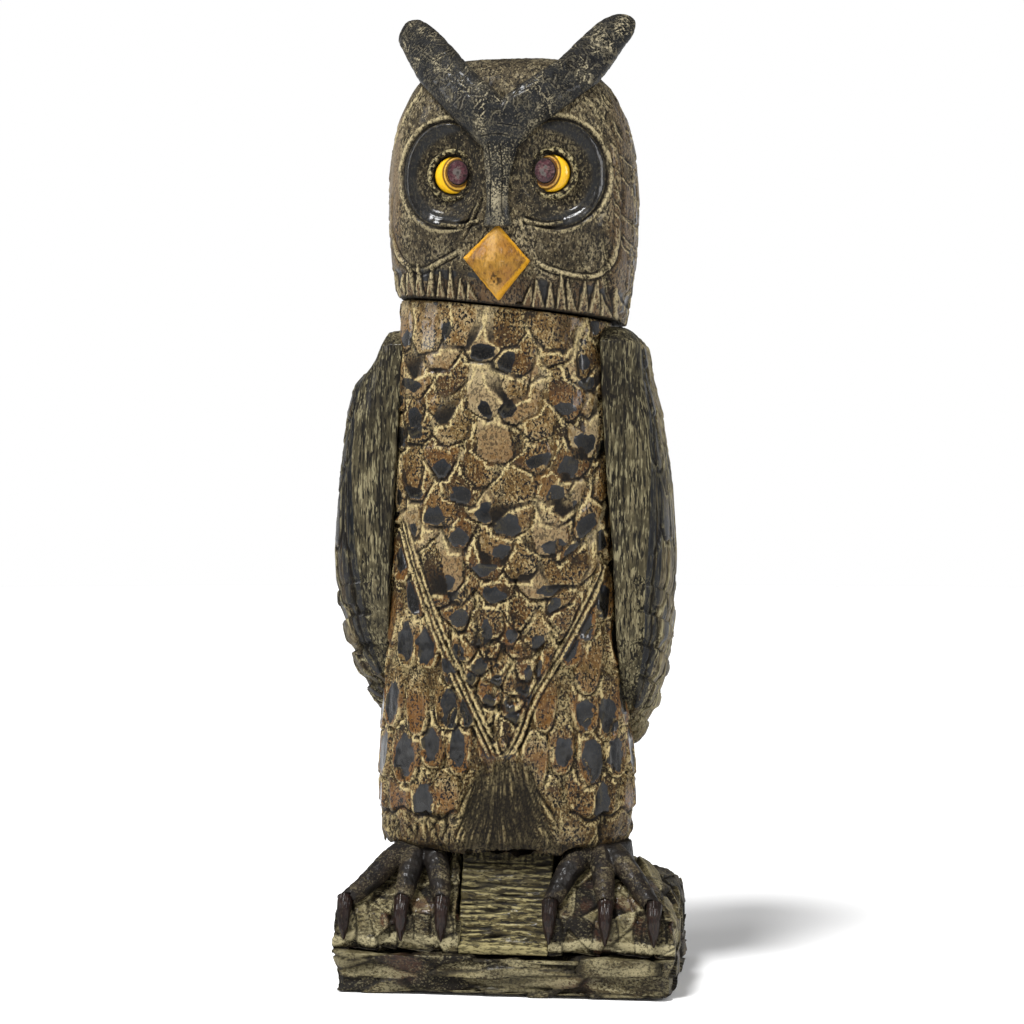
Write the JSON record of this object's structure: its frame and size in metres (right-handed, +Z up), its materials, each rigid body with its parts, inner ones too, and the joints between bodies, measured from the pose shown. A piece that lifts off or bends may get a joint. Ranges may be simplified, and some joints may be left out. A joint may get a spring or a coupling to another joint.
{
  "type": "owl figurine",
  "caption": "Standing owl figurine in carved and painted wood, with ear tufts, folded wings and clawed feet on a rock base.",
  "frame": {"origin": "centre of the footprint of the whole statue, in the plane of the underside of the base", "axes": "+Z up; the owl faces -Y; +X is the viewer's right when facing the owl"},
  "size_m": [0.18, 0.12, 0.4952],
  "materials": {
    "base_wood": "olive-beige paint rubbed over dark stain, satin varnish",
    "breast_wood": "brown stain with dark feather centres and a pale dry-brushed edge, gloss varnish",
    "tail_wood": "dark olive paint with a pale dry-brushed grain, satin varnish",
    "head_wood": "dark brown-black stain with pale dry-brushed strokes, satin varnish",
    "brow_wood": "blue-black paint with pale scratches, gloss varnish",
    "beak_wood": "ochre paint with darker mottling, gloss varnish",
    "eye_ring_wood": "dark stain with a pale rubbed edge",
    "eye_yellow": "yellow paint, gloss varnish",
    "pupil_brown": "purple-brown paint, gloss varnish",
    "wing_wood": "dark olive paint with a pale dry-brushed grain, satin varnish",
    "foot_wood": "charcoal paint with pale grime in the cuts",
    "claw_wood": "reddish dark brown paint, gloss varnish",
    "dowel_wood": "plain sanded beech"
  },
  "bodies": {
    "root": {"base_slab": "base_wood", "rock_left": "base_wood", "rock_right": "base_wood", "post": "base_wood", "trunk": "breast_wood", "tail": "tail_wood", "head": "head_wood", "brow_tufts": "brow_wood", "beak": "beak_wood", "eye_ring_left": "eye_ring_wood", "eye_ring_right": "eye_ring_wood", "eye_left": "eye_yellow", "eye_right": "eye_yellow", "pupil_left": "pupil_brown", "pupil_right": "pupil_brown", "wing_left": "wing_wood", "wing_right": "wing_wood", "foot_left": "foot_wood", "foot_right": "foot_wood", "claw_left_outer": "claw_wood", "claw_left_middle": "claw_wood", "claw_left_inner": "claw_wood", "claw_right_outer": "claw_wood", "claw_right_middle": "claw_wood", "claw_right_inner": "claw_wood", "neck_dowel": "dowel_wood", "post_dowels": "dowel_wood", "leg_dowels": "dowel_wood", "wing_dowels_left": "dowel_wood", "wing_dowels_right": "dowel_wood", "tail_dowels": "dowel_wood", "base_dowels": "dowel_wood", "brow_pegs": "dowel_wood", "beak_peg": "dowel_wood"}
  },
  "joints": []
}
